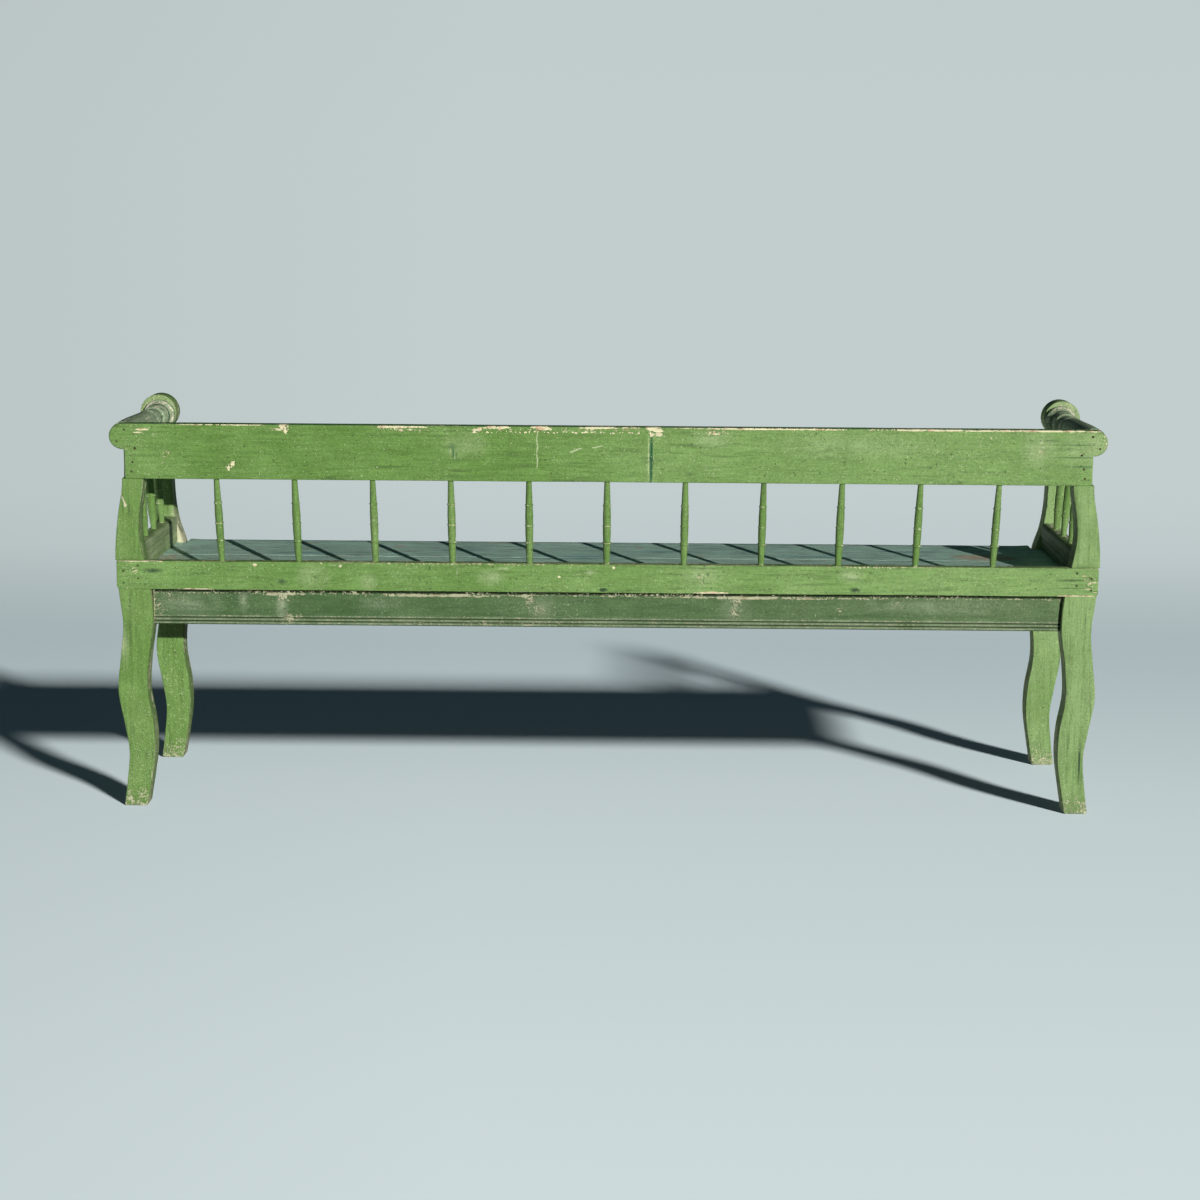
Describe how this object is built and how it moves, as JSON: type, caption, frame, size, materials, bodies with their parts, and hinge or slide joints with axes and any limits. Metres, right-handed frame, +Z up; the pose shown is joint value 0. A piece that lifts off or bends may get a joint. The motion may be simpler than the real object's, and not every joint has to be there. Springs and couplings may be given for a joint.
{
  "type": "deacons bench",
  "caption": "Long painted wooden bench with a low spindle back, spindle ends under turned arm rolls, S-curved plank posts and beaded aprons.",
  "frame": {"origin": "on the floor, midway along the bench and midway through its depth, under the centre of its box", "axes": "+X along the bench to the sitter's left end, +Y towards the front where the sitter's legs are, +Z up"},
  "size_m": [1.861, 0.44, 0.7372],
  "materials": {
    "leaf_green_paint": "worn light green oil paint over sawn wood, chipped along the edges",
    "moss_green_paint": "older and darker green paint, worn through in beige patches",
    "slate_green_paint": "blue-grey green paint, worn by sitting",
    "teal_green_paint": "thin dark teal green paint, rubbed pale on the rings",
    "bare_wood": "bare sawn softwood, dusty",
    "iron_nails": "dull dark iron, rusty and painted over in part"
  },
  "bodies": {
    "root": {"post_back_left": "leaf_green_paint", "post_back_right": "leaf_green_paint", "post_front_left": "leaf_green_paint", "post_front_right": "leaf_green_paint", "back_top_rail": "leaf_green_paint", "back_lower_rail": "leaf_green_paint", "back_apron": "moss_green_paint", "front_apron": "moss_green_paint", "side_apron_left": "moss_green_paint", "side_apron_right": "moss_green_paint", "seat_batten_1": "bare_wood", "seat_batten_2": "bare_wood", "seat_batten_3": "bare_wood", "seat_board_back": "slate_green_paint", "seat_board_front": "slate_green_paint", "end_rail_left": "leaf_green_paint", "end_rail_right": "leaf_green_paint", "arm_roll_left": "teal_green_paint", "arm_roll_right": "teal_green_paint", "back_spindle_1": "leaf_green_paint", "back_spindle_2": "leaf_green_paint", "back_spindle_3": "leaf_green_paint", "back_spindle_4": "leaf_green_paint", "back_spindle_5": "leaf_green_paint", "back_spindle_6": "leaf_green_paint", "back_spindle_7": "leaf_green_paint", "back_spindle_8": "leaf_green_paint", "back_spindle_9": "leaf_green_paint", "back_spindle_10": "leaf_green_paint", "back_spindle_11": "leaf_green_paint", "end_spindle_left_1": "leaf_green_paint", "end_spindle_left_2": "leaf_green_paint", "end_spindle_left_3": "leaf_green_paint", "end_spindle_right_1": "leaf_green_paint", "end_spindle_right_2": "leaf_green_paint", "end_spindle_right_3": "leaf_green_paint", "nail_top_rail_left_1": "iron_nails", "nail_top_rail_left_2": "iron_nails", "nail_top_rail_left_3": "iron_nails", "nail_lower_rail_left_1": "iron_nails", "nail_lower_rail_left_2": "iron_nails", "nail_lower_rail_left_3": "iron_nails", "nail_lower_rail_left_4": "iron_nails", "nail_ear_left_1": "iron_nails", "nail_ear_left_2": "iron_nails", "nail_top_rail_right_1": "iron_nails", "nail_top_rail_right_2": "iron_nails", "nail_top_rail_right_3": "iron_nails", "nail_lower_rail_right_1": "iron_nails", "nail_lower_rail_right_2": "iron_nails", "nail_lower_rail_right_3": "iron_nails", "nail_lower_rail_right_4": "iron_nails", "nail_ear_right_1": "iron_nails", "nail_ear_right_2": "iron_nails", "nail_seat_back_1": "iron_nails", "nail_seat_back_2": "iron_nails", "nail_seat_back_3": "iron_nails", "nail_seat_front_1": "iron_nails", "nail_seat_front_2": "iron_nails", "nail_seat_front_3": "iron_nails"}
  },
  "joints": []
}
